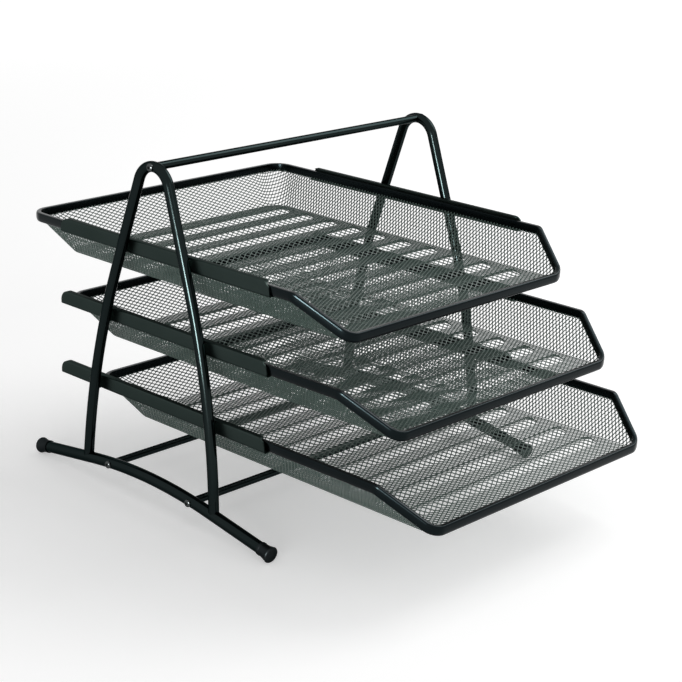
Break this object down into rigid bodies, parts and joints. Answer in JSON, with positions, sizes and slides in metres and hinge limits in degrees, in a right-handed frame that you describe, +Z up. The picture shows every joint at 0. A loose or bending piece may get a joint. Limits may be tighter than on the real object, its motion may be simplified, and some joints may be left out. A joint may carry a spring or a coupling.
{
  "type": "three-tier letter tray",
  "caption": "Desk letter tray with mesh sliding trays carried on folded rails between arched tube sides.",
  "frame": {"origin": "on the desk, under the middle of the whole object with its trays as pictured", "axes": "+Z up, the open fronts of the trays face -Y, +X to the right of someone facing the fronts"},
  "size_m": [0.3005, 0.4166, 0.2629],
  "materials": {
    "frame_paint": "semi-gloss black powder coat",
    "mesh_paint": "semi-gloss black powder coat on mesh",
    "cap_plastic": "moulded black plastic",
    "screw_steel": "blackened steel"
  },
  "bodies": {
    "stand": {"leg_loop_left": "frame_paint", "leg_loop_right": "frame_paint", "foot_tube_left": "frame_paint", "foot_tube_right": "frame_paint", "foot_cap_front_left": "cap_plastic", "foot_cap_front_right": "cap_plastic", "foot_cap_rear_left": "cap_plastic", "foot_cap_rear_right": "cap_plastic", "handle_bar": "frame_paint", "base_bar_front": "frame_paint", "base_bar_rear": "frame_paint", "handle_screws": "screw_steel", "base_screws": "screw_steel", "rail_top_left": "frame_paint", "rail_top_right": "frame_paint", "rail_middle_left": "frame_paint", "rail_middle_right": "frame_paint", "rail_bottom_left": "frame_paint", "rail_bottom_right": "frame_paint"},
    "tray_top": {"tray_rim_top": "frame_paint", "mesh_basket_top": "mesh_paint"},
    "tray_middle": {"tray_rim_middle": "frame_paint", "mesh_basket_middle": "mesh_paint"},
    "tray_bottom": {"tray_rim_bottom": "frame_paint", "mesh_basket_bottom": "mesh_paint"}
  },
  "joints": [
    {"name": "top_tray_slide", "type": "slide", "parent": "stand", "child": "tray_top", "axis": [0, -0.9998, 0.0176], "range_m": [0, 0.15]},
    {"name": "middle_tray_slide", "type": "slide", "parent": "stand", "child": "tray_middle", "axis": [0, -0.9998, 0.0176], "range_m": [-0.047, 0.103]},
    {"name": "bottom_tray_slide", "type": "slide", "parent": "stand", "child": "tray_bottom", "axis": [0, -0.9998, 0.0176], "range_m": [-0.0832, 0.0668]}
  ]
}
